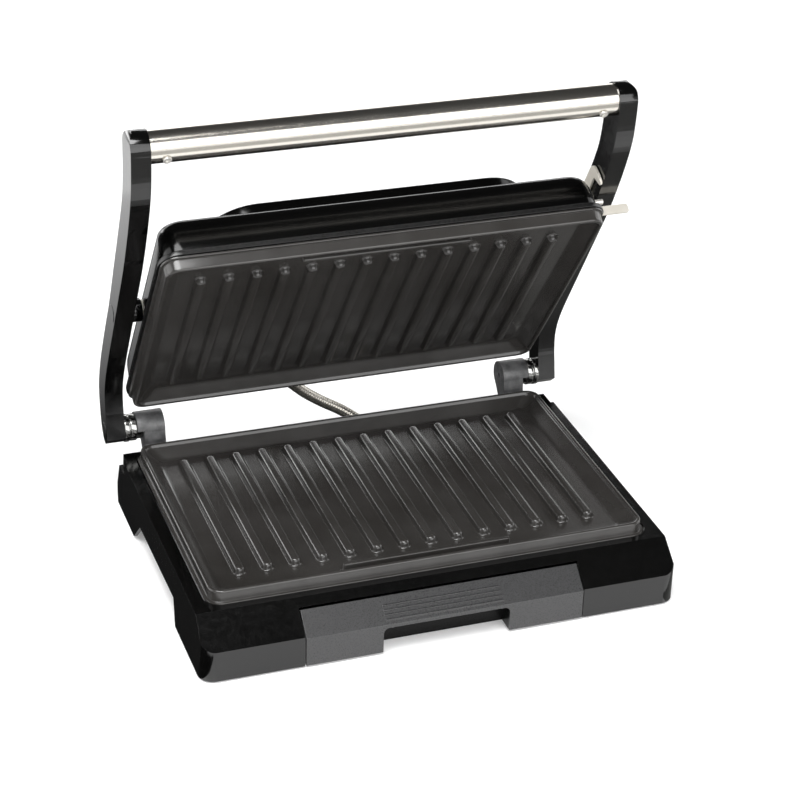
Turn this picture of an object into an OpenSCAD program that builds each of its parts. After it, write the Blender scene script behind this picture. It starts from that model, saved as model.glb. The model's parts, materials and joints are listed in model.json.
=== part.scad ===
// Contact grill (panini press): base with drip tray, two swinging arms with a
// tube handle, and a lid that floats between the arms. Millimetres, +X to the
// right, +Y to the hinge side, +Z up. The origin is on the table, under the
// centre of the lower plate. The stored pose is the lid half open.

/* [Base housing] */
// width of the housing at the table
base_w = 317; // [280:1:360]
// width of the housing at its top edge
base_top_w = 313; // [276:1:356]
// height of the housing's top edge
base_h = 39.5; // [34:0.5:60]
// front face, distance in front of the plate's centre
base_front = 122; // [110:1:140]
// front edge of the flat top
base_top_front = 102.5; // [98:0.5:118]
// height of the crease between the sloped and the upright front
crease_h = 22.3; // [14:0.1:30]
// rear edge of the flat top
base_top_rear = 99.5; // [98:0.5:106]
// wall thickness of the mouldings
wall = 2.5; // [1.5:0.1:3.5]
// clearance of the housing's lower edge over the table
skirt_gap = 1.2; // [0.8:0.1:3]
// height of the side arches
arch_h = 17; // [8:0.5:24]

/* [Plates] */
// outer width of a plate
plate_w = 290; // [250:1:330]
// outer depth of a plate
plate_d = 190; // [160:1:230]
// height of the lower plate's rim
plate_z = 47.5; // [42:0.5:70]
// height of the plate's outer wall
plate_wall = 7.5; // [5:0.5:12]
// corner radius of the plate
plate_r = 9; // [6:0.5:20]
// number of ribs
rib_count = 14; // [8:1:18]
// spacing of the ribs
rib_pitch = 18.2; // [14:0.1:24]
// width of a rib at its top
rib_top = 5.4; // [3:0.1:7]
// width of a rib at the floor
rib_foot = 9; // [6:0.1:12]
// height of a rib over the floor
rib_h = 4.4; // [2:0.1:6]

/* [Hinge and arms] */
// hinge axis, distance behind the plate's centre
hinge_y = 112; // [104:0.5:124]
// hinge axis, height
hinge_z = 52.5; // [46:0.5:70]
// outer faces of the arms, distance from the middle
arm_out = 164; // [150:0.5:185]
// thickness of an arm across the part
arm_t = 12.5; // [8:0.5:18]
// radius of the knuckles on the base
knuckle_r = 10.3; // [8:0.1:14]
// radius of the hinge pins
pin_r = 4; // [3:0.1:5]
// radial clearance of the running fits
run_fit = 0.06; // [0.02:0.01:0.1]
// outer radius of the handle tube
handle_r = 10.3; // [7:0.1:14]
// axis of the handle tube, distance behind the plate's centre
handle_y = 15.2; // [5:0.1:30]
// axis of the handle tube, height
handle_z = 296.6; // [270:0.1:320]

/* [Lid] */
// angle of the lid over the lower plate, stored pose
lid_angle = 54; // [40:0.5:80]
// angle of the line from hinge to lid pivot, stored pose
arm_angle = 70.5; // [55:0.5:85]
// height of the lid's pivot over its plate's rim
lid_pivot_h = 26; // [18:0.5:34]
// gap between the two plates' rims with the lid shut
shut_gap = 0.5; // [0:0.1:3]
// thickness of the lid from rim to back
lid_h = 37.5; // [28:0.5:48]
// radius of the spacers at the lid's pivots
spacer_r = 7.6; // [6:0.1:10]

/* [Latch] */
// thickness of the latch plate
latch_t = 1.4; // [1:0.1:2]

/* [Drip tray] */
// half width of the tray's front
tray_half = 92; // [70:1:120]
// depth of the tray's pan behind the front
pan_d = 76; // [50:1:100]

/* [Conduit] */
// outer radius of the metal conduit
conduit_r = 4.2; // [3:0.1:6]

/* [Hidden] */
$fa = 6;
$fs = 0.6;
eps = 0.01;
shut_z = plate_z + shut_gap;
// closed, the lid's pivot is over the plate's centre
shut_dz = shut_z + lid_pivot_h - hinge_z;
arm_len = sqrt(hinge_y * hinge_y + shut_dz * shut_dz);
piv_y = hinge_y - arm_len * cos(arm_angle);
piv_z = hinge_z + arm_len * sin(arm_angle);
arm_in = arm_out - arm_t;
floor_z = plate_wall + 1.2;      // floor below the rim
plate_t = 3.4;                   // thickness of the plate's floor
hp = plate_d / 2;
wp = plate_w / 2;

black = [0.05, 0.05, 0.055];
grey = [0.24, 0.24, 0.25];
steel = [0.72, 0.71, 0.69];

// ---------------------------------------------------------------- helpers
// upright block with round corners
module rblock(x0, x1, y0, y1, z0, z1, r) {
    translate([0, 0, z0]) linear_extrude(z1 - z0) union() {
        translate([x0 + r, y0]) square([x1 - x0 - 2 * r, y1 - y0]);
        translate([x0, y0 + r]) square([x1 - x0, y1 - y0 - 2 * r]);
        for (x = [x0 + r, x1 - r], y = [y0 + r, y1 - r])
            translate([x, y]) circle(r);
    }
}
module block(x0, x1, y0, y1, z0, z1)
    translate([x0, y0, z0]) cube([x1 - x0, y1 - y0, z1 - z0]);
// a side profile in (y, z), drawn out along x
module side(x0, x1, pts)
    translate([x0, 0, 0]) rotate([90, 0, 90]) linear_extrude(x1 - x0) polygon(pts);
// a front profile in (x, z), drawn out along y
module front(y0, y1, pts)
    translate([0, y1, 0]) rotate([90, 0, 0]) linear_extrude(y1 - y0) polygon(pts);
// rod along x
module rodx(x0, x1, y, z, r)
    translate([min(x0, x1), y, z]) rotate([0, 90, 0]) cylinder(h = abs(x1 - x0), r = r);
// rod along y
module rody(y0, y1, x, z, r)
    translate([x, max(y0, y1), z]) rotate([90, 0, 0]) cylinder(h = abs(y1 - y0), r = r);
module rodz(z0, z1, x, y, r)
    translate([x, y, z0]) cylinder(h = z1 - z0, r = r);
module both() { children(); mirror([1, 0, 0]) children(); }
// lid coordinates: (x, y, height over the rim) as they are with the lid shut
module on_lid()
    translate([0, piv_y, piv_z]) rotate([-lid_angle, 0, 0])
        translate([0, 0, -lid_pivot_h]) children();

// points of a smooth line through p, k steps a span
function cr(a, b, c, d, t) = 0.5 * ((2 * b) + (c - a) * t
    + (2 * a - 5 * b + 4 * c - d) * t * t + (3 * b - a - 3 * c + d) * t * t * t);
function smooth(p, k) = [for (i = [0 : len(p) - 2], j = [0 : k - 1])
    cr(p[max(i - 1, 0)], p[i], p[i + 1], p[min(i + 2, len(p) - 1)], j / k), p[len(p) - 1]];

// ------------------------------------------------------------------- base
module housing_solid(o, top) {
    // o: inset of every face; top: height of the flat top
    ht = base_top_w / 2 - o;
    hb = base_w / 2 - o;
    intersection() {
        side(-hb - 5, hb + 5, [
            [-base_front + o, skirt_gap], [base_top_rear + 9.5 - o, skirt_gap],
            [base_top_rear + 1.5 - o, base_h - 9.5], [base_top_rear - o, top],
            [-base_top_front + o * 0.6, top], [-base_front + o, crease_h - o * 0.4]]);
        front(-200, 200, [[-hb, skirt_gap], [hb, skirt_gap], [ht, top], [-ht, top]]);
        rblock(-hb - eps, hb + eps, -base_front + o - eps, base_top_rear + 12, 0, 60, 10);
    }
}
module base_housing() color(black) difference() {
    housing_solid(0, base_h);
    // hollow inside
    difference() {
        translate([0, 0, -1.5]) housing_solid(wall, base_h - wall + 1.5);
        // bosses that the bottom pan screws into
        both() for (y = [-88, 84]) {
            rodz(6.3, 60, 136, y, 4.5);
            block(136, 170, y - 1.4, y + 1.4, 8, 20);
        }
    }
    // screw holes from below
    both() for (y = [-88, 84]) rodz(-1, 24, 136, y, 1.4);
    // well for the plate
    rblock(-wp - 3, wp + 3, -hp - 2.6, hp + 1.6, 20, 60, plate_r + 2);
    // side arches
    both() side(base_top_w / 2 - 6, base_w / 2 + 4,
        [[55, -1], [55, skirt_gap], [39.5, arch_h], [-50, arch_h + 1.5], [-56.5, skirt_gap], [-56.5, -1]]);
    // opening for the drip tray in the front
    side(-tray_half - 0.7, tray_half + 0.7, [[-130, -1], [-96, -1], [-96, 30],
        [-base_top_front - 5.2, base_h - 4.3], [-130, base_h - 4.3 - 5]]);
    // step at the rear corners
    both() block(base_top_w / 2 - 2.2, 170, 86, 120, 30.5, 45);
    // cord inlet and conduit holes in the rear wall
    rody(90, 120, -96, 16, 6.5);
    rody(90, 120, 36, 15, 6.2);
    // relief for the knuckle brackets
    both() block(123.4, 140, 90, 130, 26, 60);
}
module base_pan() color([0.1, 0.1, 0.11]) difference() {
    union() {
        // floor, and the roof and walls of the tray's bay
        block(-142, 142, -98, 92, 2.6, 4.2);
        block(-102.6, 102.6, -98, -28.4, 2.6, 24.6);
        difference() {
            block(-143.6, 143.6, -99.6, 93.6, 2.6, 30);
            block(-142, 142, -98, 92, 0, 31);
        }
        both() for (y = [-88, 84]) rodz(2.6, 6.2, 136, y, 7);
    }
    // the bay, with rails along its sides
    block(-101, 101, -110, -30, 0, 16.8);
    block(-89.3, 89.3, -110, -30, 0, 23);
    block(-101, 101, -110, -98, 0, 40);
    both() block(89, 93.5, -110, -30, 18.4, 23);
    both() block(95.3, 101, -110, -30, 0, 23);
    // slots for the housing's gussets, and the screw points
    both() for (y = [-88, 84]) {
        block(135, 146, y - 1.7, y + 1.7, 7.7, 31);
        rodz(6.21, 30, 136, y, 4.8);
        rodz(0, 3.8, 136, y, 3.3);
        rodz(0, 10, 136, y, 1.5);
    }
    both() block(121, 142, 91, 94, 26, 31);
    // vent slots
    for (x = [-110 : 11 : -22]) block(x, x + 4, 20, 62, 0, 6);
    for (x = [18 : 11 : 106]) block(x, x + 4, 20, 62, 0, 6);
    // holes for the cord inlet and the conduit
    rody(90, 120, -96, 16, 6.5);
    rody(90, 120, 36, 15, 6.2);
}
module base_screws() color(steel) both() for (y = [-88, 84]) {
    rodz(1.9, 3.75, 136, y, 3);
    rodz(3.75, 18, 136, y, 1.35);
}
// a rubber ring under the rear of the pan and two pads beside the tray
module base_feet() color([0.03, 0.03, 0.03]) {
    difference() {
        rblock(-129, 129, -24, 74, 0, 2.6, 9);
        rblock(-122, 122, -17, 67, -1, 3, 4);
    }
    both() rblock(112, 129, -84, -54, 0, 2.6, 5);
}
// ------------------------------------------------------------------ plates
// a plate in its own coordinates: rim at 0, floor below, cooking side up
module plate_shape() {
    zf = -floor_z;
    fx = wp - 11.5;
    fy = hp - 10.5;
    difference() {
        union() {
            rblock(-wp, wp, -hp, hp, -plate_wall - plate_t, 0, plate_r);
            // flange that lies on the frame
            rblock(-wp - 1.8, wp + 1.8, -hp - 1.6, hp + 1.2, -plate_wall - 1.6, -plate_wall, plate_r + 1.2);
        }
        // sloped inner rim
        intersection() {
            front(-hp + 1.5, hp - 1.5, [[-fx, zf], [fx, zf], [wp - 1.5, 0], [wp - 1.5, 1], [-wp + 1.5, 1], [-wp + 1.5, 0]]);
            side(-wp, wp, [[-fy, zf], [fy, zf], [hp - 1.5, 0], [hp - 1.5, 1], [-hp + 1.5, 1], [-hp + 1.5, 0]]);
            rblock(-wp + 1.5, wp - 1.5, -hp + 1.5, hp - 1.5, -30, 5, plate_r - 1.5);
        }
    }
    // ribs
    intersection() {
        union() for (i = [0 : rib_count - 1])
            front(-hp, hp, [
                [(i - (rib_count - 1) / 2) * rib_pitch - rib_foot / 2, zf - 0.5],
                [(i - (rib_count - 1) / 2) * rib_pitch + rib_foot / 2, zf - 0.5],
                [(i - (rib_count - 1) / 2) * rib_pitch + rib_foot / 2, zf],
                [(i - (rib_count - 1) / 2) * rib_pitch + rib_top / 2, zf + rib_h],
                [(i - (rib_count - 1) / 2) * rib_pitch - rib_top / 2, zf + rib_h],
                [(i - (rib_count - 1) / 2) * rib_pitch - rib_foot / 2, zf]]);
        side(-wp, wp, [[-65.5, zf - 1], [76.5, zf - 1], [76.5, zf], [73, zf + rib_h], [-62, zf + rib_h], [-65.5, zf]]);
    }
    // drain lip
    front(-83.5, -80, [[-57, zf - 0.5], [57, zf - 0.5], [55, -2.6], [-55, -2.6]]);
    // locating studs on the back
    both() for (y = [-60, 60]) rodz(-plate_wall - plate_t - 5, -plate_wall - plate_t + 0.5, 136, y, 3);
}
module lower_plate() color(grey) translate([0, 0, plate_z]) plate_shape();
module upper_plate() color(grey) on_lid() mirror([0, 0, 1]) plate_shape();

// heating loop in a plate's own coordinates, its centre line at height z
module heat_loop(z) {
    r = 3.2;
    b = 22;
    rodx(-88, 88, -58, z, r);
    both() {
        translate([88, -58 + b, z]) rotate([0, 0, -90]) rotate_extrude(angle = 90) translate([b, 0]) circle(r);
        rody(-58 + b, 52 - b, 88 + b, z, r);
        translate([88, 52 - b, z]) rotate_extrude(angle = 90) translate([b, 0]) circle(r);
        rodx(20 + 14, 88, 52, z, r);
        translate([34, 52 + 14, z]) rotate([0, 0, 180]) rotate_extrude(angle = 90) translate([14, 0]) circle(r);
        rody(66, 72, 20, z, r);
    }
}
module heat_ends(z) both() {
    rody(72, 79, 20, z, 4.6);
    rody(79, 86, 20, z, 1.4);
}
module reflector(z, up) {
    // pressed tray under the loop: z is its inner face
    difference() {
        rblock(-118, 118, -72, 88, z - 0.8, z + 5, 8);
        rblock(-117.2, 117.2, -71.2, 87.2, z, z + 6, 7.2);
    }
}
module lower_element() color([0.35, 0.34, 0.33]) heat_loop(31.6);
module lower_terminals() color([0.86, 0.84, 0.78]) heat_ends(31.6);
module lower_reflector() color(steel) reflector(27, 1);
module plate_nuts() color(steel) both() for (y = [-60, 60])
    difference() {
        rodz(28.6, 31.4, 136, y, 4);
        rodz(28, 32, 136, y, 3.05);
    }
module thermostat() color([0.16, 0.13, 0.1]) {
    rodz(20.5, 26.2, 0, 30, 9);
    rodz(15, 20.5, 0, 30, 7);
    block(-9, -7.2, 27, 33, 17, 19);
    block(7.2, 9, 27, 33, 17, 19);
}
module terminal_block() color([0.82, 0.8, 0.72]) difference() {
    rblock(-84, -52, 72, 86, 4.2, 16, 1.5);
    for (x = [-78, -68, -58]) rodz(9, 20, x, 79, 2);
}
module inlet_grommet() color([0.04, 0.04, 0.04]) difference() {
    union() {
        rody(91, 116, -96, 16, 6.4);
        rody(108.2, 111, -96, 16, 9);
        rody(91, 92, -96, 16, 8.4);
    }
    rody(80, 130, -96, 16, 3.3);
}
// a bent wire or hose through the points p
module wire(p, r, n) for (i = [0 : len(p) - 2]) hull() {
    translate(p[i]) sphere(r, $fn = n);
    translate(p[i + 1]) sphere(r, $fn = n);
}
module base_wiring() color([0.75, 0.7, 0.62]) {
    wire([[-58, 79, 17.2], [-58, 79, 19.5], [-30, 66, 22.5], [-10.4, 31, 22.5], [-10.4, 30, 20.2]], 1.1, 12);
    wire([[-68, 79, 17.2], [-68, 79, 22.5], [-40, 90, 22.5], [-20, 89.5, 29.5]], 1.1, 12);
    wire([[10.4, 30, 20.2], [10.4, 31, 22.5], [20, 60, 22.5], [22, 89.8, 22.5], [20, 89.5, 29.5]], 1.1, 12);
}
// --------------------------------------------------------------- hinge base
module knuckle() color([0.2, 0.2, 0.21]) difference() {
    union() {
        rodx(124, 138.6, hinge_y, hinge_z, knuckle_r);
        // hood over the outer half
        intersection() {
            rodx(138, 143, hinge_y, hinge_z, knuckle_r);
            block(137, 144, hinge_y - 20, hinge_y + 20, hinge_z + 0.8, hinge_z + 20);
        }
        // bracket down to the rear wall
        side(124, 138.6, [[97.6, 26.6], [106, 26.6], [109.5, 34], [hinge_y + 8.2, hinge_z - 6],
            [hinge_y, hinge_z], [hinge_y - 9.8, hinge_z + 3], [hinge_y - 11.6, 44], [97.6, 39]]);
        // tongue inside the housing
        block(124, 138.6, 94.2, 98.5, 26.6, 35.6);
    }
    // bearing bore, open to the outer side
    rodx(127, 150, hinge_y, hinge_z, pin_r + run_fit);
    // small hole in the inner end
    rodx(120, 128, hinge_y, hinge_z, 1.9);
    // room for the arm's sleeve under the hood
    rodx(138.6, 150, hinge_y, hinge_z, 8.9);
    rody(80, 99.5, 131.3, 31, 1.3);
}
module knuckle_left() mirror([1, 0, 0]) knuckle();
module knuckle_right() knuckle();
module knuckle_screws() color(steel) both() {
    rody(92.3, 94.1, 131.3, 31, 2.8);
    rody(94.1, 99.4, 131.3, 31, 1.25);
}
// --------------------------------------------------------------------- arms
arm_front = [[4.1, 298.5], [4.6, 288], [7.3, 270], [15.5, 248], [27.5, 223],
    [38.5, 203], [58.5, 170.5], [71, 150], [90.5, 118.5], [102, 98], [106.8, 84], [107, 72], [105, 60], [103, 49]];
arm_rear = [[110, 43.3], [116.5, 46], [121.5, 54], [124, 65], [124.8, 77], [122, 91], [113, 111],
    [94.8, 142], [79.3, 167.5], [60, 204], [51.6, 219.5], [36.9, 247.6], [30.6, 262.5], [27, 281], [26.3, 294.5]];
module arm_shape() {
    pts = concat(smooth(arm_front, 5), smooth(arm_rear, 5));
    difference() {
        union() {
            side(arm_in, arm_out, pts);
            rodx(arm_in, arm_out, handle_y, handle_z, handle_r + 0.9);
        }
        // through hole of the hinge pin
        rodx(130, arm_out - 3, hinge_y, hinge_z, pin_r + 0.03);
        rodx(arm_out - 3.02, arm_out + 1, hinge_y, hinge_z, 6.06);
        // lid pivot
        rodx(130, arm_out - 3, piv_y, piv_z, pin_r + 0.03);
        rodx(arm_out - 3.02, arm_out + 1, piv_y, piv_z, 6.06);
        // socket of the handle tube
        rodx(arm_in - 1, arm_in + 6, handle_y, handle_z, handle_r + 0.05);
        // rounded outer corner at the top
        difference() {
            block(arm_out - 4.8, arm_out + 1, -10, 50, handle_z + handle_r + 0.9 - 4.8, handle_z + handle_r + 3);
            rody(-11, 51, arm_out - 4.8, handle_z + handle_r + 0.9 - 4.8, 4.8);
        }
        // latch rivet hole
        rodx(arm_in - 1, arm_in + 5, latch_y, latch_z, 2.03);
    }
}
module arm_left() color(black) mirror([1, 0, 0]) arm_shape();
module arm_right() color(black) arm_shape();
module hinge_pins() color(steel) both() rodx(127.6, arm_out - 3.2, hinge_y, hinge_z, pin_r);
module hinge_sleeves() color(steel) both() difference() {
    union() {
        rodx(148.3, arm_in - 0.02, hinge_y, hinge_z, 9.6);
        rodx(139.0, 148.4, hinge_y, hinge_z, 8.4);
        rodx(143.3, 147.3, hinge_y, hinge_z, 9.3);
    }
    rodx(130, arm_in + 1, hinge_y, hinge_z, pin_r + 0.03);
}
module hinge_washers() color(steel) both() difference() {
    rodx(138.65, 138.95, hinge_y, hinge_z, 7);
    rodx(138, 139.5, hinge_y, hinge_z, pin_r + 0.05);
}
module arm_caps() color(black) both() {
    rodx(arm_out - 2.8, arm_out + 0.3, hinge_y, hinge_z, 6);
    rodx(arm_out - 2.8, arm_out + 0.3, piv_y, piv_z, 6);
}
// a fastener's axis that leaves the tube at the lower front
module at_screw() translate([141.5, handle_y, handle_z]) rotate([120, 0, 0]) children();
module handle_tube() color(steel) difference() {
    rodx(-arm_in - 5.8, arm_in + 5.8, handle_y, handle_z, handle_r);
    rodx(-arm_in - 8, arm_in + 8, handle_y, handle_z, handle_r - 1.2);
    both() at_screw() cylinder(h = 20, r = 1.55);
}
module handle_plugs() color([0.08, 0.08, 0.08]) both() difference() {
    rodx(arm_in - 20, arm_in + 5.6, handle_y, handle_z, handle_r - 1.3);
    at_screw() cylinder(h = 20, r = 1.55);
}
module handle_screws() color(steel) both() at_screw() {
    difference() {
        rodz(handle_r + 0.05, handle_r + 1.5, 0, 0, 2.7);
        rodz(handle_r + 0.9, handle_r + 2, 0, 0, 1.1);
    }
    rodz(0.6, handle_r + 0.1, 0, 0, 1.5);
}
module pivot_spacers() color(black) both() difference() {
    rodx(145.2, arm_in - 0.02, piv_y, piv_z, spacer_r);
    rodx(140, arm_in + 1, piv_y, piv_z, pin_r + 0.03);
}
module pivot_pins() color(steel) both() rodx(134.2, arm_out - 3.2, piv_y, piv_z, pin_r);
module pivot_clips() color(steel) both() difference() {
    rodx(135.2, 136.2, piv_y, piv_z, 5.8);
    rodx(135, 137, piv_y, piv_z, pin_r + 0.03);
}
// --------------------------------------------------------------------- latch
// latch pivot, in lid coordinates of the stored pose, put on the arm
latch_ly = hp - 158;
latch_lh = 34;
latch_y = piv_y + latch_ly * cos(lid_angle) + (latch_lh - lid_pivot_h) * sin(lid_angle);
latch_z = piv_z - latch_ly * sin(lid_angle) + (latch_lh - lid_pivot_h) * cos(lid_angle);
latch_x = 149.4;
// t: distance from the hinge side of the lid, h: height over its rim
function th(p) = [hp - p[0], p[1]];
module latch_lever() color(steel) on_lid() difference() {
    union() {
        side(latch_x, latch_x + latch_t, [for (p = [[171.8, 13.6], [171.8, 19.9], [167.5, 20.8], [165, 23.5], [164.2, 28],
            [164.6, 32.6], [167, 34.6], [181.2, 36], [182.6, 35.6], [183.4, 34.3], [185.6, 29.2], [186.6, 27.6], [188.2, 27.1],
            [189.6, 28], [189.9, 30.5], [189.4, 36], [188.6, 39.8], [187.2, 42.2], [184.6, 43.6], [181, 43.9], [165, 42.6],
            [157, 41.2], [152.2, 39], [149.6, 35.4], [149.8, 30.5], [152.4, 24.5], [156.6, 18.6], [161, 15.1], [165.5, 13.7]]) th(p)]);
        // thumb tab bent across the arm's front
        block(latch_x + 0.2, 171.4, hp - 171.8, hp - 170.4, 13.6, 19.9);
    }
    rodx(140, 160, hp - 158, 34, 2.06);
    // rounded corners of the tab
    for (h = [13.6, 19.9]) difference() {
        block(169.8, 172, hp - 173, hp - 169, h - 1.6, h + 1.6);
        translate([169.8, hp - 168, 16.75 + (h - 16.75) * 0.492]) rotate([90, 0, 0]) cylinder(h = 6, r = 1.6);
        block(169, 173, hp - 174, hp - 168, 15.2, 18.3);
    }
}
module latch_rivet() color(steel) {
    rodx(148.9, 149.3, latch_y, latch_z, 3.6);
    rodx(148.9, arm_in + 4.6, latch_y, latch_z, 2);
}
// ----------------------------------------------------------------------- lid
// outline of the lid in plan: w, d half sizes, r corner
module lid_block(w, y0, y1, r, z0, z1) rblock(-w, w, y0, y1, z0, z1, r);
module cover_solid(o) {
    intersection() {
        // near upright sides and a rounded back edge
        front(-120, 120, [
            [-144.8 + o, 12.3], [144.8 - o, 12.3], [144.6 - o, 20], [144.1 - o, 28 - o * 0.2], [143 - o * 0.95, 33 - o * 0.5],
            [140.8 - o * 0.7, 36.2 - o * 0.85], [136.6 - o * 0.3, lid_h - o],
            [-136.6 + o * 0.3, lid_h - o], [-140.8 + o * 0.7, 36.2 - o * 0.85], [-143 + o * 0.95, 33 - o * 0.5],
            [-144.1 + o, 28 - o * 0.2], [-144.6 + o, 20]]);
        side(-170, 170, [
            [-97.2 + o, 12.3], [96.1 - o, 12.3], [95.9 - o, 20], [94.8 - o, 28 - o * 0.3], [91.8 - o * 0.8, 34 - o * 0.7],
            [86.5 - o * 0.3, lid_h - o], [-88.8 + o * 0.3, lid_h - o], [-92.8 + o * 0.7, 35.7 - o * 0.85],
            [-95.3 + o, 32.2 - o * 0.5], [-96.6 + o, 27 - o * 0.2], [-97.1 + o, 20]]);
        lid_block(144.8 - o, -97.2 + o, 96.1 - o, 12 - o, 0, 60);
    }
}
module lid_cover() color(black) on_lid() difference() {
    cover_solid(0);
    difference() {
        translate([0, 0, -0.01]) cover_solid(wall);
        // bushing housings and screw bosses inside
        both() rodx(137.5, 150, 0, lid_pivot_h, 10);
        both() for (y = [-80, 78]) rodz(14.9, 60, 128, y, 4.5);
    }
    both() rodx(137, 152, 0, lid_pivot_h, 6.52);
    both() for (y = [-80, 78]) rodz(0, 26, 128, y, 1.4);
    // conduit hole in the hinge side wall
    rody(85, 105, -38, 21, 6.2);
    // hole for the stud that meets the latch
    rodx(132, 152, hp - 179.9, 18.9, 1.83);
    // room for the lamps
    for (x = [-12, 12]) rodz(30, 60, x, -40, 3.3);
}
module lid_panel() color(black) on_lid() difference() {
    union() {
        rblock(-109, 109, -87.8, 76, lid_h + 0.02, lid_h + 4, 33);
        rblock(-107.5, 107.5, -86.3, 74.5, lid_h + 3.9, lid_h + 7.2, 31.5);
        rblock(-105.5, 105.5, -84.3, 72.5, lid_h + 7.1, lid_h + 9.4, 29.5);
        rblock(-102.5, 102.5, -81.3, 69.5, lid_h + 9.3, lid_h + 10.5, 26.5);
    }
    rblock(-103, 103, -81.8, 70, lid_h - 1, lid_h + 7.4, 27);
    for (x = [-12, 12]) rodz(30, 60, x, -40, 3.3);
}
module indicator_lamps() color([0.75, 0.12, 0.08]) on_lid() for (x = [-12, 12]) {
    rodz(34.8, lid_h + 11.1, x, -40, 3.2);
    rodz(33.4, 34.7, x, -40, 4.6);
    rodz(34.6, 34.9, x, -40, 3.2);
}
module lid_bezel() color([0.09, 0.09, 0.095]) on_lid() difference() {
    union() {
        difference() {
            union() {
                lid_block(148.3, -98.5, 97.2, 14, 9.2, 12.2);
                lid_block(142.1, -94.5, 93.4, 9.3, 12.1, 14.5);
            }
            lid_block(145.3, -95.3, 95.3, 9.3, 0, 11);
            lid_block(139.6, -91.6, 90.6, 7, 10.9, 20);
        }
        // screw tabs
        both() for (y = [-80, 78]) block(121, 139, y - 4, y + 4, 13.2, 14.5);
    }
    both() for (y = [-80, 78]) rodz(10, 20, 128, y, 1.5);
}
module lid_screws() color(steel) on_lid() both() for (y = [-80, 78]) {
    rodz(11.4, 13.1, 128, y, 3);
    rodz(13.1, 25, 128, y, 1.35);
}
module pivot_bushings() color([0.85, 0.83, 0.76]) on_lid() both() difference() {
    union() {
        rodx(137.4, 144.6, 0, lid_pivot_h, 6.5);
        rodx(136.9, 137.45, 0, lid_pivot_h, 7.4);
    }
    rodx(130, 150, 0, lid_pivot_h, pin_r + run_fit);
}
module upper_element() color([0.35, 0.34, 0.33]) on_lid() heat_loop(15.9);
module upper_terminals() color([0.86, 0.84, 0.78]) on_lid() heat_ends(15.9);
module upper_reflector() color(steel) on_lid() mirror([0, 0, 1]) reflector(-20.5, 1);
module thermal_fuse() color([0.9, 0.9, 0.86]) on_lid() {
    rodx(-14, 14, 0, 23.9, 2.2);
    rodx(-22, -14, 0, 23.9, 0.7);
    rodx(14, 22, 0, 23.9, 0.7);
}
module latch_stud() color(steel) on_lid() {
    rodx(136, 150.9, hp - 179.9, 18.9, 1.8);
}
// ------------------------------------------------------------------- conduit
cond = [
    on_lid_pt(-38, 95, 21), on_lid_pt(-38, 99.5, 21), on_lid_pt(-38, 103.5, 21), on_lid_pt(-36, 109, 20.5),
    [-30, 137.2, 61.5], [-21.5, 140.5, 52.5], [-12, 142, 43.5], [1, 142.5, 34], [14, 140.5, 26.5], [26, 133.5, 19.5], [33.5, 124, 15.8],
    [36, 115, 15], [36, 110.5, 15], [36, 106, 15]];
function on_lid_pt(x, y, h) = [x,
    piv_y + y * cos(lid_angle) + (h - lid_pivot_h) * sin(lid_angle),
    piv_z - y * sin(lid_angle) + (h - lid_pivot_h) * cos(lid_angle)];
module conduit() color([0.7, 0.66, 0.58]) wire(smooth(cond, 2), conduit_r, 20);
module ferrule_lid() color(steel) on_lid() difference() {
    union() {
        rody(91, 99, -38, 21, 6.1);
        rody(96.4, 98.2, -38, 21, 7.4);
        rody(91, 92, -38, 21, 6.3);
    }
    rody(80, 110, -38, 21, conduit_r + 0.1);
}
module ferrule_base() color(steel) difference() {
    union() {
        rody(93.8, 109.8, 36, 15, 6.1);
        rody(107.6, 109.3, 36, 15, 8);
    }
    rody(80, 112, 36, 15, conduit_r + 0.1);
}
// ----------------------------------------------------------------- drip tray
// a point on the tray's sloped face: s down the slope, n out of it
function slope(s, n) = [-base_top_front - 5.9 - 0.7585 * s - 0.6517 * n, base_h - 5.6 - 0.6517 * s + 0.7585 * n];
module drip_tray_front() color([0.2, 0.2, 0.21]) difference() {
    union() {
        difference() {
            side(-tray_half, tray_half, [[-base_front - 0.6, 1.6], [-98.2, 1.6], [-98.2, 20],
                [-99, 27], slope(0, 0), [-base_front - 0.6, crease_h - 0.6]]);
            // finger recess
            difference() {
                side(-42, 42, [[-130, -1], [-110, -1], [-110, 19.2], [-130, 19.2]]);
                for (s = [-1, 1]) difference() {
                    block(s * 39.5 - 3.5, s * 39.5 + 3.5, -131, -109, 15.2, 20);
                    rody(-132, -108, s * 38, 15.2, 4);
                }
            }
        }
        // grip ridges
        for (k = [0 : 3]) let (c = 6.3 + 3.1 * k)
            side(-40, 38, [slope(c - 0.95, -0.3), slope(c - 0.4, 0.65), slope(c, 0.85), slope(c + 0.4, 0.65), slope(c + 0.95, -0.3)]);
    }
    // hollow back of the front
    side(-tray_half + 2.4, tray_half - 2.4, [[-100.4, 22.4], [-98, 22.4], [-98, 24.6], [-100.2, 25.2]]);
}
module drip_tray_pan() color([0.17, 0.17, 0.18]) difference() {
    union() {
        rblock(-88, 88, -98.15, -98.15 + pan_d - 8, 3.4, 20.4, 4);
        both() block(87, 92.6, -94, -98.15 + pan_d - 12, 18.9, 20.4);
    }
    rblock(-86.2, 86.2, -96.4, -98.15 + pan_d - 9.8, 5, 22, 3);
}

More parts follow.
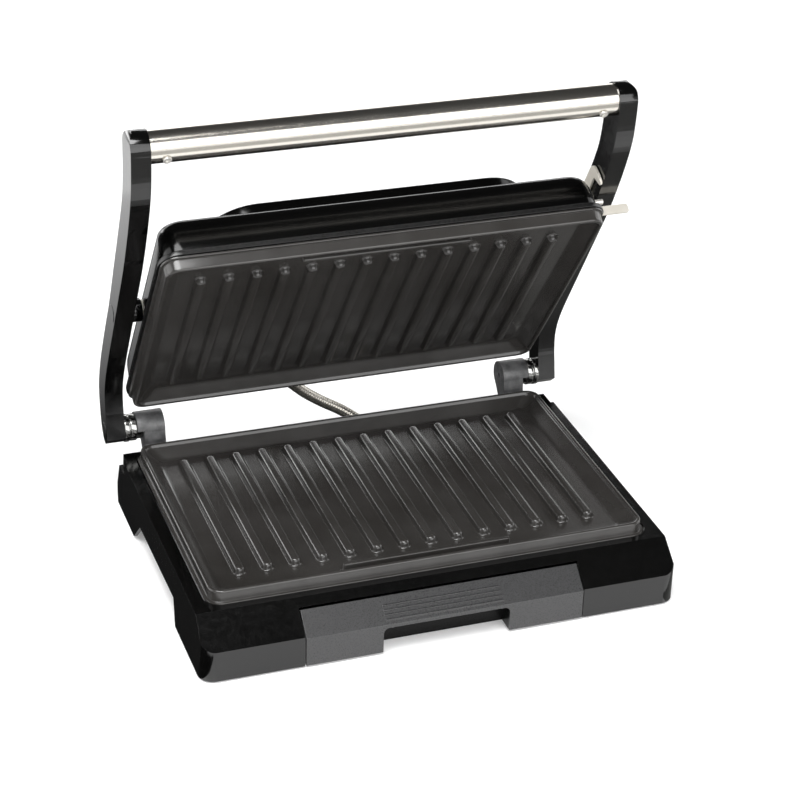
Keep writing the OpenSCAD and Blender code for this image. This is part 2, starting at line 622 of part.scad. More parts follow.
base_housing();
base_pan();
base_feet();
base_screws();
lower_plate();
lower_element();
lower_terminals();
lower_reflector();
plate_nuts();
thermostat();
terminal_block();
inlet_grommet();
base_wiring();
knuckle_left();
knuckle_right();
knuckle_screws();
ferrule_base();
drip_tray_front();
drip_tray_pan();
arm_left();
arm_right();
hinge_pins();
hinge_sleeves();
hinge_washers();
arm_caps();
handle_tube();
handle_plugs();
handle_screws();
pivot_spacers();
pivot_pins();
pivot_clips();
latch_rivet();
lid_cover();
lid_panel();
indicator_lamps();
lid_bezel();
upper_plate();
lid_screws();
pivot_bushings();
upper_element();
upper_terminals();
upper_reflector();
thermal_fuse();
latch_stud();
ferrule_lid();
latch_lever();
conduit();
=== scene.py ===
import json
import math
import bpy
import bmesh
from mathutils import Matrix, Vector


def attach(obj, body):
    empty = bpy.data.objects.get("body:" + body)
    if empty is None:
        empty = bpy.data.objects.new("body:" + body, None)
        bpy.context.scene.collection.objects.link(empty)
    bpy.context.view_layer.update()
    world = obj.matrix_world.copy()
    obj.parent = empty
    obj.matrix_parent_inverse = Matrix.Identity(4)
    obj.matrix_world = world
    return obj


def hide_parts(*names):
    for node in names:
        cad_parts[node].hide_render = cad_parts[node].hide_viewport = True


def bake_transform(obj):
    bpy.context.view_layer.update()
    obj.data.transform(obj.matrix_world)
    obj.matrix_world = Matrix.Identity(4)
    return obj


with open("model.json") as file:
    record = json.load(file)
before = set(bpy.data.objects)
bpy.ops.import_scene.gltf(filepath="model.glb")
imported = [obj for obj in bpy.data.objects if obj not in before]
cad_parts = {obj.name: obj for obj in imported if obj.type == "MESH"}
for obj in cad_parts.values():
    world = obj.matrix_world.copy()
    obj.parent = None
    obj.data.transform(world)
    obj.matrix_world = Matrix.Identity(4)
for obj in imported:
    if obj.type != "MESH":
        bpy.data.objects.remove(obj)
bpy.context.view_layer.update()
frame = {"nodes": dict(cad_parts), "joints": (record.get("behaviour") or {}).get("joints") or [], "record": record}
nodes = frame["nodes"]
scene = bpy.context.scene
slots = {s["node"]: s["material_slot"] for s in frame["record"]["subparts"]}
MM = 0.001


# ------------------------------------------------------------------ camera
CAMERA_AT = (-0.437934, -1.224880, 0.817906)
CAMERA_YAW = math.radians(-20.0188)
CAMERA_PITCH = math.radians(-28.5496)
CAMERA_ROLL = math.radians(1.7942)
CAMERA_LENS = 102.65
CAMERA_SENSOR = 36.0


def add_camera():
    data = bpy.data.cameras.new("camera")
    data.sensor_width = CAMERA_SENSOR
    data.lens = CAMERA_LENS
    data.clip_end = 50.0
    camera = bpy.data.objects.new("camera", data)
    scene.collection.objects.link(camera)
    scene.camera = camera
    ahead = Vector((-math.sin(CAMERA_YAW) * math.cos(CAMERA_PITCH),
                    math.cos(CAMERA_YAW) * math.cos(CAMERA_PITCH),
                    math.sin(CAMERA_PITCH)))
    level = Vector((math.cos(CAMERA_YAW), math.sin(CAMERA_YAW), 0.0))
    over = level.cross(ahead)
    right = level * math.cos(CAMERA_ROLL) + over * math.sin(CAMERA_ROLL)
    up = over * math.cos(CAMERA_ROLL) - level * math.sin(CAMERA_ROLL)
    turn = Matrix((right, up, -ahead)).transposed().to_4x4()
    camera.matrix_world = Matrix.Translation(CAMERA_AT) @ turn


add_camera()


# -------------------------------------------------------- shader node helpers
def principled(name):
    material = bpy.data.materials.new(name)
    material.use_nodes = True
    nt = material.node_tree
    return material, nt, nt.nodes["Principled BSDF"]


def noise(nt, scale, detail=4.0, rough=0.55, stretch=(1, 1, 1)):
    place = nt.nodes.new("ShaderNodeTexCoord")
    mapping = nt.nodes.new("ShaderNodeMapping")
    mapping.inputs["Scale"].default_value = stretch
    texture = nt.nodes.new("ShaderNodeTexNoise")
    texture.inputs["Scale"].default_value = scale
    texture.inputs["Detail"].default_value = detail
    texture.inputs["Roughness"].default_value = rough
    nt.links.new(place.outputs["Object"], mapping.inputs["Vector"])
    nt.links.new(mapping.outputs["Vector"], texture.inputs["Vector"])
    return texture.outputs["Fac"]


def ramp(nt, source, low, high, start=0.3, end=0.7):
    """a value that goes from low to high as the source goes from start to end"""
    node = nt.nodes.new("ShaderNodeMapRange")
    node.inputs["From Min"].default_value = start
    node.inputs["From Max"].default_value = end
    node.inputs["To Min"].default_value = low
    node.inputs["To Max"].default_value = high
    nt.links.new(source, node.inputs["Value"])
    return node.outputs["Result"]


def colours(nt, source, low, high, start=0.35, end=0.65):
    """a colour that goes from low to high as the source goes from start to end"""
    node = nt.nodes.new("ShaderNodeValToRGB")
    node.color_ramp.elements[0].position = start
    node.color_ramp.elements[0].color = (*low, 1)
    node.color_ramp.elements[1].position = end
    node.color_ramp.elements[1].color = (*high, 1)
    nt.links.new(source, node.inputs["Fac"])
    return node.outputs["Color"]


def bump(nt, shader, source, strength, distance):
    node = nt.nodes.new("ShaderNodeBump")
    node.inputs["Strength"].default_value = strength
    node.inputs["Distance"].default_value = distance
    nt.links.new(source, node.inputs["Height"])
    nt.links.new(node.outputs["Normal"], shader.inputs["Normal"])


def calculate(nt, operation, a, b):
    """a math node, whose two inputs are numbers or sockets"""
    node = nt.nodes.new("ShaderNodeMath")
    node.operation = operation
    for k, value in enumerate((a, b)):
        if isinstance(value, float):
            node.inputs[k].default_value = value
        else:
            nt.links.new(value, node.inputs[k])
    return node.outputs["Value"]


# --------------------------------------------------------------- materials
M = {}


def surface(name, low, high, scale, rough, metallic=0.0, grain=0.0, grain_scale=800.0, depth=0.0001,
            coat=0.0, spec=0.5):
    """colour between low and high by a soft noise; roughness and bump by a fine grain"""
    M[name], nt, shader = principled(name)
    nt.links.new(colours(nt, noise(nt, scale, 3.0), low, high), shader.inputs["Base Color"])
    fine = noise(nt, grain_scale, 5.0, 0.6)
    nt.links.new(ramp(nt, fine, rough[0], rough[1]), shader.inputs["Roughness"])
    if grain > 0:
        bump(nt, shader, fine, grain, depth)
    shader.inputs["Metallic"].default_value = metallic
    shader.inputs["Coat Weight"].default_value = coat
    shader.inputs["Coat Roughness"].default_value = 0.06
    shader.inputs["Specular IOR Level"].default_value = spec


def drawn_steel(name, low, high):
    """polished stainless tube along X: faint lengthwise drawing lines, slight smudges in the gloss"""
    M[name], nt, shader = principled(name)
    lines = noise(nt, 40, 5.0, 0.6, (0.2, 30.0, 30.0))
    smudges = noise(nt, 26, 3.0, 0.5)
    nt.links.new(colours(nt, lines, low, high, 0.3, 0.7), shader.inputs["Base Color"])
    nt.links.new(ramp(nt, smudges, 0.175, 0.205), shader.inputs["Roughness"])
    bump(nt, shader, lines, 0.01, 0.00001)
    shader.inputs["Metallic"].default_value = 1.0


# base housing, arms, their caps and spacers
surface("gloss_black", (0.0007, 0.0007, 0.0007), (0.0014, 0.0014, 0.0013), 14, (0.11, 0.17),
        grain=0.04, grain_scale=260, depth=0.0001, coat=0.15)
# the lid's cover and its panel
surface("cover_black", (0.0008, 0.0008, 0.0008), (0.0016, 0.0016, 0.0015), 14, (0.13, 0.17),
        grain=0.05, grain_scale=1400, depth=0.00005, spec=0.28)
# the lid's bezel, the handle's plugs and the pan under the base
surface("frame_black", (0.003, 0.003, 0.003), (0.005, 0.005, 0.005), 30, (0.24, 0.34),
        grain=0.12, grain_scale=1500, depth=0.0001)
M["pan_metal"] = M["frame_black"]
# feet and the mains inlet's grommet
surface("rubber", (0.012, 0.012, 0.012), (0.022, 0.022, 0.022), 60, (0.7, 0.85),
        grain=0.4, grain_scale=1800, depth=0.0001)
# non-stick coating of the two plates: dark grey is the coating's own colour, its slight warm tint is a painted
# reflection of the food
surface("plate_coating", (0.021, 0.0194, 0.0178), (0.032, 0.0302, 0.0285), 22, (0.19, 0.26),
        grain=0.12, grain_scale=1900, depth=0.00004, spec=0.6, coat=0.1)
# screws, pins, clips, nuts, ferrules and studs
surface("steel", (0.66, 0.64, 0.60), (0.76, 0.74, 0.70), 60, (0.24, 0.34), metallic=0.72,
        grain=0.08, grain_scale=500, depth=0.00005)
# inside the housings: elements, terminals, thermostat, bushings and wiring
surface("element_metal", (0.12, 0.11, 0.105), (0.2, 0.18, 0.17), 50, (0.45, 0.65), metallic=0.7,
        grain=0.2, grain_scale=900)
surface("ceramic", (0.75, 0.72, 0.64), (0.83, 0.8, 0.73), 60, (0.3, 0.5), grain=0.1)
surface("phenolic", (0.03, 0.018, 0.012), (0.055, 0.032, 0.02), 60, (0.3, 0.5), grain=0.15)
surface("nylon", (0.62, 0.6, 0.52), (0.7, 0.68, 0.6), 40, (0.35, 0.5), grain=0.1)
surface("wire_sleeve", (0.5, 0.45, 0.36), (0.66, 0.6, 0.5), 900, (0.6, 0.8),
        grain=0.5, grain_scale=1500)
# moulded hinge knuckles and drip tray
surface("knuckle_grey", (0.046, 0.046, 0.047), (0.110, 0.110, 0.112), 160, (0.30, 0.46),
        grain=0.5, grain_scale=1300, depth=0.00012, spec=0.6)
surface("tray_grey", (0.023, 0.023, 0.0235), (0.037, 0.037, 0.038), 900, (0.24, 0.34),
        grain=0.22, grain_scale=1500, depth=0.00008, spec=0.6)
# wound steel conduit between lid and base
surface("conduit_steel", (0.48, 0.45, 0.40), (0.66, 0.63, 0.57), 500, (0.24, 0.34), metallic=0.95,
        grain=0.2, grain_scale=1200, depth=0.0001)
# hinge sleeves: polished, dark between the lights
surface("sleeve_steel", (0.30, 0.30, 0.29), (0.36, 0.36, 0.35), 40, (0.07, 0.12), metallic=1.0,
        grain=0.02, grain_scale=300, depth=0.00002)
# latch: pale champagne nickel
surface("latch_nickel", (0.70, 0.66, 0.58), (0.80, 0.77, 0.70), 30, (0.30, 0.42), metallic=0.45,
        grain=0.05, grain_scale=500, depth=0.00003)
# heat reflectors, lamps and handle
surface("reflector_alu", (0.60, 0.60, 0.60), (0.70, 0.70, 0.69), 30, (0.25, 0.4), metallic=1.0,
        grain=0.15, grain_scale=700, depth=0.00005)
surface("lamp_red", (0.35, 0.012, 0.01), (0.5, 0.02, 0.015), 60, (0.08, 0.16), coat=0.5)
drawn_steel("handle_steel", (0.66, 0.63, 0.575), (0.69, 0.66, 0.605))

# nodes whose finish differs from their slot's usual material
FINISHES = {"hinge_sleeves": "sleeve_steel", "latch_lever": "latch_nickel"}


def dress(name):
    """gives a CAD node its material"""
    data = nodes[name].data
    material = M[FINISHES.get(name, slots[name])]
    if not data.materials:
        data.materials.append(material)
    for i in range(len(data.materials)):
        data.materials[i] = material


for name in nodes:
    dress(name)


# finger recess in the tray's front, measured from the front's foremost and lowest points; painted shade on its
# walls: a darker colour and weaker reflections
RECESS_FROM = 1.1 * MM
RECESS_TOP = 17.6 * MM
RECESS_HALF_WIDTH = 42.1 * MM
# colour of the painted shade on the recess's walls
RECESS_PAINTED_SHADE = (0.0025, 0.0025, 0.0025, 1)
TRAY_SPEC = 0.6
# how much the painted shade lowers the specular of the recess's walls
RECESS_SHADE_SPEC_LESS = 0.45


def paint_shade_in_recess():
    """paints shade on the recess's walls: a near-black colour and less specular, where shade falls inside the
    recess
    """
    vertices = nodes["drip_tray_front"].data.vertices
    front = min(v.co.y for v in vertices)
    bottom = min(v.co.z for v in vertices)
    nt = M["tray_grey"].node_tree
    shader = nt.nodes["Principled BSDF"]
    place = nt.nodes.new("ShaderNodeTexCoord")
    axes = nt.nodes.new("ShaderNodeSeparateXYZ")
    nt.links.new(place.outputs["Object"], axes.inputs["Vector"])
    behind = calculate(nt, "GREATER_THAN", axes.outputs["Y"], front + RECESS_FROM)
    below = calculate(nt, "LESS_THAN", axes.outputs["Z"], bottom + RECESS_TOP)
    aside = calculate(nt, "ABSOLUTE", axes.outputs["X"], 0.0)
    near = calculate(nt, "LESS_THAN", aside, RECESS_HALF_WIDTH)
    shade_mask = calculate(nt, "MULTIPLY", calculate(nt, "MULTIPLY", behind, below), near)
    mix = nt.nodes.new("ShaderNodeMix")
    mix.data_type = "RGBA"
    ports = {i.name: i for i in mix.inputs if i.type == "RGBA"}
    plain = shader.inputs["Base Color"].links[0].from_socket
    ports["B"].default_value = RECESS_PAINTED_SHADE
    nt.links.new(shade_mask, mix.inputs[0])
    nt.links.new(plain, ports["A"])
    blend = next(o for o in mix.outputs if o.type == "RGBA")
    nt.links.new(blend, shader.inputs["Base Color"])
    less = calculate(nt, "MULTIPLY", shade_mask, RECESS_SHADE_SPEC_LESS)
    nt.links.new(calculate(nt, "SUBTRACT", TRAY_SPEC, less), shader.inputs["Specular IOR Level"])


# paints shade into the recess of the tray's front
paint_shade_in_recess()


# --------------------------------------------------- round edges on CAD nodes
# width of the round, in mm
EDGE_WIDTHS = {
    "base_housing": 1.3, "arm_left": 1.3, "arm_right": 1.3, "knuckle_left": 0.7, "knuckle_right": 0.7,
    "lid_bezel": 0.5, "latch_lever": 0.35, "arm_caps": 0.4, "pivot_spacers": 0.4, "handle_screws": 0.25,
    "ferrule_base": 0.4, "ferrule_lid": 0.4, "inlet_grommet": 0.7, "indicator_lamps": 0.6,
    "base_feet": 0.4, "hinge_sleeves": 0.35, "terminal_block": 0.5, "drip_tray_pan": 0.5,
    "drip_tray_front": 0.4}


WELD_WITHIN = 0.02 * MM
FLAT_WITHIN = math.radians(0.6)
ROUND_ABOVE = math.radians(28.0)
SPLIT_ABOVE = math.radians(16)


def round_edges(node, width):
    """joins the CAD mesh's triangles to flat faces, then rounds every edge sharper than ROUND_ABOVE"""
    weld = node.modifiers.new("weld", "WELD")
    weld.merge_threshold = WELD_WITHIN
    flat = node.modifiers.new("flat", "DECIMATE")
    flat.decimate_type = "DISSOLVE"
    flat.angle_limit = FLAT_WITHIN
    bevel = node.modifiers.new("round", "BEVEL")
    bevel.width = width * MM
    bevel.segments = 3
    bevel.limit_method = "ANGLE"
    bevel.angle_limit = ROUND_ABOVE
    bevel.harden_normals = True
    bevel.use_clamp_overlap = True
    bevel.miter_outer = "MITER_ARC"


def shade_flat_faces(node):
    """keeps the many small faces of the tray's front flat beside their round edges"""
    node.modifiers["round"].harden_normals = False
    split = node.modifiers.new("split", "EDGE_SPLIT")
    split.split_angle = SPLIT_ABOVE
    node.modifiers.new("normals", "WEIGHTED_NORMAL")


for name, width in EDGE_WIDTHS.items():
    round_edges(nodes[name], width)
shade_flat_faces(nodes["drip_tray_front"])


# ---------------------------------------------------------- mesh helpers
def ring(x0, x1, y0, y1, r, z, n=8, along=10):
    """points of a rounded rectangle, counter-clockwise, the same count for any size"""
    r = max(r, 0.02)
    points = []
    corners = [(x1 - r, y0 + r, -90), (x1 - r, y1 - r, 0), (x0 + r, y1 - r, 90), (x0 + r, y0 + r, 180)]
    for k, (cx, cy, start) in enumerate(corners):
        for i in range(n + 1):
            a = math.radians(start + 90.0 * i / n)
            points.append((cx + r * math.cos(a), cy + r * math.sin(a), z))
        next_x, next_y, next_start = corners[(k + 1) % 4]
        a = math.radians(next_start)
        q = (next_x + r * math.cos(a), next_y + r * math.sin(a))
        p = points[-1]
        for i in range(1, along):
            t = i / along
            points.append((p[0] + (q[0] - p[0]) * t, p[1] + (q[1] - p[1]) * t, z))
    return points


def loft(bm, rings, cap_first=True, cap_last=True, close=False):
    """skin over rings of equal length; close joins the last one to the first"""
    rows = [[bm.verts.new(p) for p in r] for r in rings]
    pairs = list(zip(rows[:-1], rows[1:]))
    if close:
        pairs.append((rows[-1], rows[0]))
    for a, b in pairs:
        n = len(a)
        for i in range(n):
            bm.faces.new((a[i], a[(i + 1) % n], b[(i + 1) % n], b[i]))
    if cap_first:
        bm.faces.new(list(reversed(rows[0])))
    if cap_last:
        bm.faces.new(rows[-1])


def piece(name, bm, material, body=None, replaces=None, matrix=None, sharp=38.0):
    """a visual piece from a mesh in mm: smooth, with edges above the sharp angle kept"""
    bmesh.ops.recalc_face_normals(bm, faces=bm.faces[:])
    data = bpy.data.meshes.new(name)
    bm.to_mesh(data)
    bm.free()
    data.transform(Matrix.Scale(MM, 4))
    if matrix is not None:
        data.transform(matrix)
    for polygon in data.polygons:
        polygon.use_smooth = True
    data.set_sharp_from_angle(angle=math.radians(sharp))
    data.materials.append(material)
    o = bpy.data.objects.new(name, data)
    scene.collection.objects.link(o)
    if body:
        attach(o, body)
    if replaces:
        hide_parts(replaces)
    return o


# Lid parts are drawn as they are with the lid shut: x, y and height over the plate's rim, in mm.
# on_lid turns them about the lid's pivot to the stored pose, in metres.
LID_ANGLE = math.radians(-54.0)
PIVOT_HEIGHT = 26.0 * MM
pivot = next(Vector(j["pos_m"]) for j in frame["joints"] if j["name"] == "lid_float")
on_lid = (Matrix.Translation(pivot) @ Matrix.Rotation(LID_ANGLE, 4, "X")
          @ Matrix.Translation((0, 0, -PIVOT_HEIGHT)))


# ------------------------------------------------------------------ plates
# half sizes, then the height of the lower plate's rim over the table and of the floor over the rim
PLATE_HALF_X = 145.0
PLATE_HALF_Y = 95.0
PLATE_RIM = 47.5
PLATE_FLOOR = -8.7
# ribs run from front to back; the drain lip lies before them
RIBS = 14
RIB_PITCH = 18.2
RIB_FRONT = -63.7
RIB_BACK = 73.0
LIP_HALF_X = 54.5
LIP_Y = -81.8
# distance in from the outline, height over the rim, corner radius
PLATE_PROFILE = (
    # underside and the thin flange that covers the joint with the housing
    (3.0, -10.9, 7.0), (1.0, -10.9, 8.2), (-0.6, -10.2, 9.2), (-1.3, -9.2, 9.9), (-1.8, -9.05, 10.2),
    (-2.0, -8.8, 10.4), (-2.0, -8.0, 10.4), (-1.8, -7.7, 10.2), (-1.2, -7.55, 9.8), (-0.6, -7.5, 9.4),
    # outer wall
    (-0.35, -7.3, 9.2), (-0.2, -6.6, 9.1), (0.0, -1.6, 9.0),
    # bead of the rim
    (0.1, -0.9, 8.9), (0.45, -0.35, 8.6), (0.95, -0.06, 8.2), (1.5, -0.02, 7.9), (2.0, -0.10, 7.7),
    (2.4, -0.34, 7.6), (2.7, -0.75, 7.5), (2.92, -1.3, 7.5), (3.12, -1.9, 7.4), (3.45, -2.35, 7.4),
    # inner slope and its round foot
    (4.1, -2.85, 7.3), (9.3, -7.0, 7.6), (10.2, -7.8, 7.8), (11.2, -8.4, 8.0), (12.4, -8.64, 8.0),
    (14.0, PLATE_FLOOR, 8.0))
# half width, height over the plate's floor
RIB_PROFILE = ((5.3, -0.02), (4.7, 0.06), (4.2, 0.3), (3.8, 0.85), (3.5, 1.8), (3.2, 2.8), (2.8, 3.5),
               (2.25, 4.05), (1.5, 4.38), (0.6, 4.45))
LIP_PROFILE = ((3.4, -0.02), (2.7, 0.2), (2.2, 0.8), (1.9, 3.0), (1.75, 5.2), (1.4, 5.8), (0.9, 6.0))


def bead(bm, x0, x1, y0, y1, profile, n):
    """raised bead on the plate's floor, around a straight line"""
    loft(bm, [ring(x0 - w, x1 + w, y0 - w, y1 + w, w - 0.01, PLATE_FLOOR + h, n, 2)
              for w, h in profile], cap_first=False)


def plate_mesh():
    bm = bmesh.new()
    loft(bm, [ring(-PLATE_HALF_X + d, PLATE_HALF_X - d, -PLATE_HALF_Y + d, PLATE_HALF_Y - d, r, z, 10, 12)
              for d, z, r in PLATE_PROFILE])
    for i in range(RIBS):
        x = (i - (RIBS - 1) / 2) * RIB_PITCH
        bead(bm, x, x, RIB_FRONT, RIB_BACK, RIB_PROFILE, 10)
    bead(bm, -LIP_HALF_X, LIP_HALF_X, LIP_Y, LIP_Y, LIP_PROFILE, 5)
    return bm


def plates():
    piece("lower_plate_cast", plate_mesh(), M["plate_coating"], "base", "lower_plate",
          Matrix.Translation((0, 0, PLATE_RIM * MM)))
    upper = piece("upper_plate_cast", plate_mesh(), M["plate_coating"], "lid",
                  "upper_plate", on_lid @ Matrix.Diagonal((1, 1, -1, 1)))
    upper.data.flip_normals()


plates()


# ------------------------------------------------------- the lid's cover and panel
# distance in at the sides, distance in at the front and back, height over the rim
COVER_PROFILE = (
    (3.0, 2.3, 12.5), (0.5, 0.4, 12.4), (0.1, 0.1, 12.7), (0, 0, 13.3), (0.2, 0.1, 20), (0.5, 0.5, 25),
    (0.8, 1.0, 28.6), (1.4, 1.9, 31.6), (2.3, 3.0, 33.9), (3.6, 4.5, 35.7), (5.2, 6.2, 36.8),
    (7.0, 8.0, 37.35), (9.4, 10.4, 37.5), (30, 30, 37.5))
COVER_CORNER = 12
COVER_HALF_X = 144.8
COVER_FRONT = -97.2
COVER_BACK = 96.1
# distance in, height over the rim, corner radius: a crisp wall, then a low dome
PANEL_PROFILE = (
    (0, 37.55, 33), (0, 43.4, 33), (0.15, 44.2, 32.9), (0.5, 44.85, 32.5), (1.1, 45.3, 32), (2.0, 45.5, 31),
    (12, 46.6, 21), (30, 47.8, 3), (45, 48.0, 3))
PANEL_HALF_X = 109
PANEL_FRONT = -87.8
PANEL_BACK = 76


def lid_cover():
    bm = bmesh.new()
    loft(bm, [ring(-COVER_HALF_X + dx, COVER_HALF_X - dx, COVER_FRONT + dy, COVER_BACK - dy,
                   COVER_CORNER + 0.1 * dx, z, 12, 10) for dx, dy, z in COVER_PROFILE], cap_first=False)
    piece("lid_cover_skin", bm, M["cover_black"], "lid", "lid_cover", on_lid, sharp=60)


def lid_panel():
    bm = bmesh.new()
    loft(bm, [ring(-PANEL_HALF_X + d, PANEL_HALF_X - d, PANEL_FRONT + d, PANEL_BACK - d, r, z, 12, 8)
              for d, z, r in PANEL_PROFILE])
    piece("lid_panel_skin", bm, M["cover_black"], "lid", "lid_panel", on_lid)


lid_cover()
lid_panel()


# ------------------------------------------------------------- handle tube
TUBE_SIDES = 96
TUBE_LENGTHS = 16
TUBE_WALL = 1.2


def handle_tube():
    """a finer tube in the place of the CAD one"""
    node = nodes["handle_tube"]
    points = [node.matrix_world @ v.co / MM for v in node.data.vertices]
    x0 = min(p.x for p in points)
    x1 = max(p.x for p in points)
    y = (min(p.y for p in points) + max(p.y for p in points)) / 2
    top = max(p.z for p in points)
    bottom = min(p.z for p in points)
    z = (bottom + top) / 2
    radius = (top - bottom) / 2

    def circle(x, r):
        angles = [2 * math.pi * i / TUBE_SIDES for i in range(TUBE_SIDES)]
        return [(x, y + r * math.cos(a), z + r * math.sin(a)) for a in angles]

    stations = [x0 + (x1 - x0) * i / TUBE_LENGTHS for i in range(TUBE_LENGTHS + 1)]
    bm = bmesh.new()
    loft(bm, [circle(x, radius) for x in stations]
         + [circle(x, radius - TUBE_WALL) for x in reversed(stations)], False, False, close=True)
    piece("handle_tube_skin", bm, M["handle_steel"], "arms", "handle_tube")


handle_tube()


# ----------------------------------------------------------------- conduit
CONDUIT_RADIUS = 4.15
WINDING_PITCH = 2.1
WINDING_DEPTH = 0.24
WINDING_SIDES = 22
CONDUIT_STEP = 0.42
# the same route as in the CAD source: the first points as lid parts are drawn, the others as they stand
CONDUIT_ON_LID = ((-38, 95, 21), (-38, 99.5, 21), (-38, 103.5, 21), (-36, 109, 20.5))
CONDUIT_BELOW = (
    (-30, 137.2, 61.5), (-21.5, 140.5, 52.5), (-12, 142, 43.5), (1, 142.5, 34), (14, 140.5, 26.5),
    (26, 133.5, 19.5), (33.5, 124, 15.8), (36, 115, 15), (36, 110.5, 15), (36, 106, 15))


def smooth_curve(p, step):
    """Catmull-Rom curve through the points p"""
    out = []
    for i in range(len(p) - 1):
        a = p[max(i - 1, 0)]
        b = p[i]
        c = p[i + 1]
        d = p[min(i + 2, len(p) - 1)]
        count = max(2, int((c - b).length / step))
        for j in range(count):
            t = j / count
            out.append(0.5 * ((2 * b) + (c - a) * t + (2 * a - 5 * b + 4 * c - d) * t * t
                              + (3 * b - a - 3 * c + d) * t ** 3))
    out.append(p[-1])
    return out


def hose(points):
    """a wound tube along the points"""
    bm = bmesh.new()
    rows = []
    travelled = 0.0
    across = None
    for i, p in enumerate(points):
        along = (points[min(i + 1, len(points) - 1)] - points[max(i - 1, 0)]).normalized()
        if i:
            travelled += (p - points[i - 1]).length
        if across is None:
            across = along.orthogonal().normalized()
        across = (across - along * across.dot(along)).normalized()
        third = along.cross(across)
        r = CONDUIT_RADIUS - WINDING_DEPTH * (0.5 - 0.5 * math.cos(2 * math.pi * travelled / WINDING_PITCH))
        angles = [2 * math.pi * k / WINDING_SIDES for k in range(WINDING_SIDES)]
        rows.append([p + (across * math.cos(a) + third * math.sin(a)) * r for a in angles])
    loft(bm, rows)
    return bm


def conduit():
    """two halves of the wound tube, split in the middle of the route; the lid hangs from the arms and the arms
    from the base, but neither half is attached to a body
    """
    route = [on_lid @ (Vector(p) * MM) / MM for p in CONDUIT_ON_LID] + [Vector(p) for p in CONDUIT_BELOW]
    points = smooth_curve(route, CONDUIT_STEP)
    cut = len(points) // 2
    steel = M["conduit_steel"]
    lid_half = piece("conduit_lid_half", hose(points[:cut + 1]), steel, sharp=70)
    base_half = piece("conduit_base_half", hose(points[cut:]), steel, sharp=70)
    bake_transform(lid_half)
    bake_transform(base_half)
    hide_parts("conduit")


conduit()


# ------------------------------------------------------------------- floor
FLOOR_HALF = 12.0
GLOW_NEAR = 0.2
GLOW_FAR = 0.8
GLOW_FROM = 1.1
GLOW_TO = 2.8


def add_floor():
    bm = bmesh.new()
    bmesh.ops.create_grid(bm, x_segments=1, y_segments=1, size=FLOOR_HALF)
    data = bpy.data.meshes.new("floor")
    bm.to_mesh(data)
    bm.free()
    floor = bpy.data.objects.new("floor", data)
    scene.collection.objects.link(floor)
    material, nt, shader = principled("floor")
    shader.inputs["Base Color"].default_value = (0.86, 0.86, 0.86, 1)
    shader.inputs["Roughness"].default_value = 0.6
    shader.inputs["Specular IOR Level"].default_value = 0.15
    shader.inputs["Emission Color"].default_value = (1, 1, 1, 1)
    # a little brighter far away, like a paper sweep
    place = nt.nodes.new("ShaderNodeTexCoord")
    distance = nt.nodes.new("ShaderNodeVectorMath")
    distance.operation = "LENGTH"
    nt.links.new(place.outputs["Object"], distance.inputs[0])
    glow = ramp(nt, distance.outputs["Value"], GLOW_NEAR, GLOW_FAR, GLOW_FROM, GLOW_TO)
    nt.links.new(glow, shader.inputs["Emission Strength"])
    data.materials.append(material)


add_floor()


# ------------------------------------------------------------------ studio
# strength of the world's light below the first height and above the second one, as sines of elevation
HORIZON_LIGHT = 0.55
CEILING_LIGHT = 0.05
HORIZON_TOP = 0.20
CEILING_FROM = 0.47
CARD_LIFT = 0.4 * MM


def add_world():
    """soft band of light near the horizon, dim towards the ceiling"""
    world = bpy.data.worlds.new("studio")
    scene.world = world
    world.use_nodes = True
    nt = world.node_tree
    background = nt.nodes["Background"]
    background.inputs["Color"].default_value = (1, 1, 1, 1)
    place = nt.nodes.new("ShaderNodeTexCoord")
    axes = nt.nodes.new("ShaderNodeSeparateXYZ")
    nt.links.new(place.outputs["Generated"], axes.inputs["Vector"])
    fade = ramp(nt, axes.outputs["Z"], HORIZON_LIGHT, CEILING_LIGHT, HORIZON_TOP, CEILING_FROM)
    fade.node.interpolation_type = "SMOOTHSTEP"
    nt.links.new(fade, background.inputs["Strength"])


def add_light(name, at, target, width, height, power):
    data = bpy.data.lights.new(name, "AREA")
    data.shape = "RECTANGLE"
    data.size = width
    data.size_y = height
    data.energy = power
    light = bpy.data.objects.new(name, data)
    light.location = at
    light.rotation_euler = (Vector(target) - Vector(at)).to_track_quat("-Z", "Y").to_euler()
    scene.collection.objects.link(light)


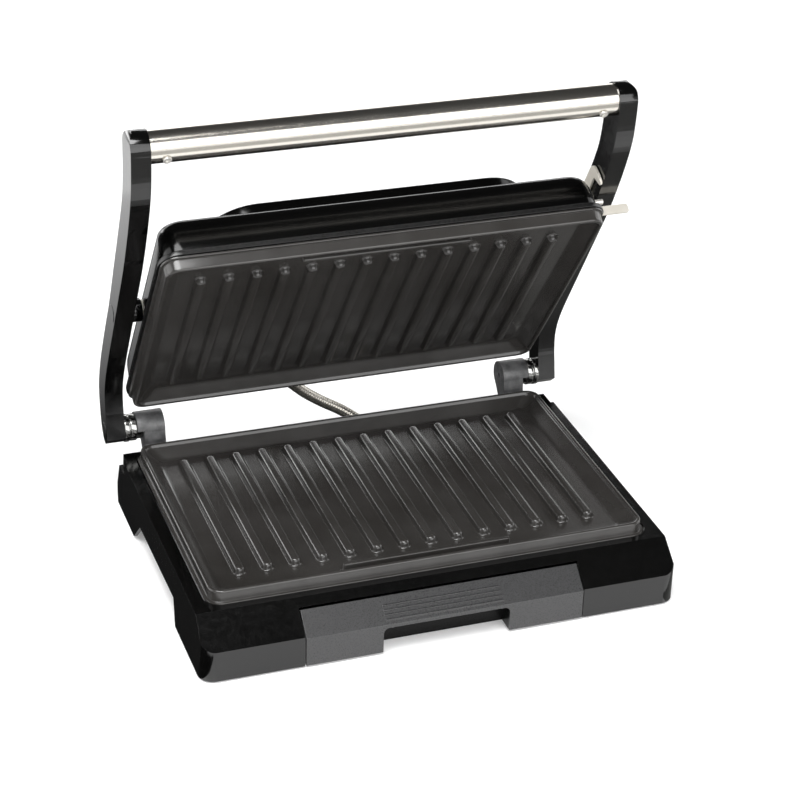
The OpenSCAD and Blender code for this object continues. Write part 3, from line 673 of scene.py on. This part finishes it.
def add_card(name, x0, x1, y0, y1, tone=0.01, far=None, start=0.5):
    """studio card on the floor, seen only in reflections; it may fade to another tone at its far end"""
    bm = bmesh.new()
    bm.faces.new([bm.verts.new((x, y, CARD_LIFT)) for x, y in ((x0, y0), (x1, y0), (x1, y1), (x0, y1))])
    data = bpy.data.meshes.new(name)
    bm.to_mesh(data)
    bm.free()
    card = bpy.data.objects.new(name, data)
    scene.collection.objects.link(card)
    material, nt, shader = principled(name)
    shader.inputs["Base Color"].default_value = (tone, tone, tone * 0.97, 1)
    if far is not None:
        place = nt.nodes.new("ShaderNodeTexCoord")
        axes = nt.nodes.new("ShaderNodeSeparateXYZ")
        nt.links.new(place.outputs["Generated"], axes.inputs["Vector"])
        nt.links.new(ramp(nt, axes.outputs["Y"], tone, far, start, 1.0), shader.inputs["Base Color"])
    shader.inputs["Roughness"].default_value = 0.9
    shader.inputs["Specular IOR Level"].default_value = 0.1
    data.materials.append(material)
    card.visible_camera = False
    card.visible_diffuse = False
    card.visible_shadow = False


add_world()

# lights: place, target, width, height, power
add_light("key", (-0.6, -0.7, 2.2), (0, 0, 0.05), 1.5, 1.1, 60)
add_light("front", (0.3, -2.15, 1.2), (0, 0, 0.3), 2.6, 1.85, 48)
add_light("left", (-2.0, 0.6, 0.9), (0, 0, 0.15), 1.8, 1.6, 20)
add_light("right", (2.0, 0.2, 0.9), (0, 0, 0.15), 1.4, 1.4, 12)
add_light("back", (0.4, 2.4, 0.95), (0, 0, 0.25), 2.6, 0.5, 11)
add_light("rim", (-1.35, 2.2, 0.6), (0, 0, 0.1), 1.3, 0.6, 11)

# cards: x range, y range, tone; the left one fades to light grey far behind
add_card("card_left", -0.46, -0.1585, -0.16, 0.62, 0.01, 0.75, 0.45)
add_card("card_back", -0.1584, 0.1525, 0.112, 1.4)
add_card("card_gap", -0.215, -0.1586, 0.63, 1.4)
add_card("card_right", 0.153, 0.42, -0.13, 0.30, 0.22)
add_card("card_front", -1.2, 1.6, -1.6, -0.33, 0.34)

scene.view_settings.view_transform = "Standard"
scene.view_settings.look = "None"
scene.view_settings.exposure = 0.0
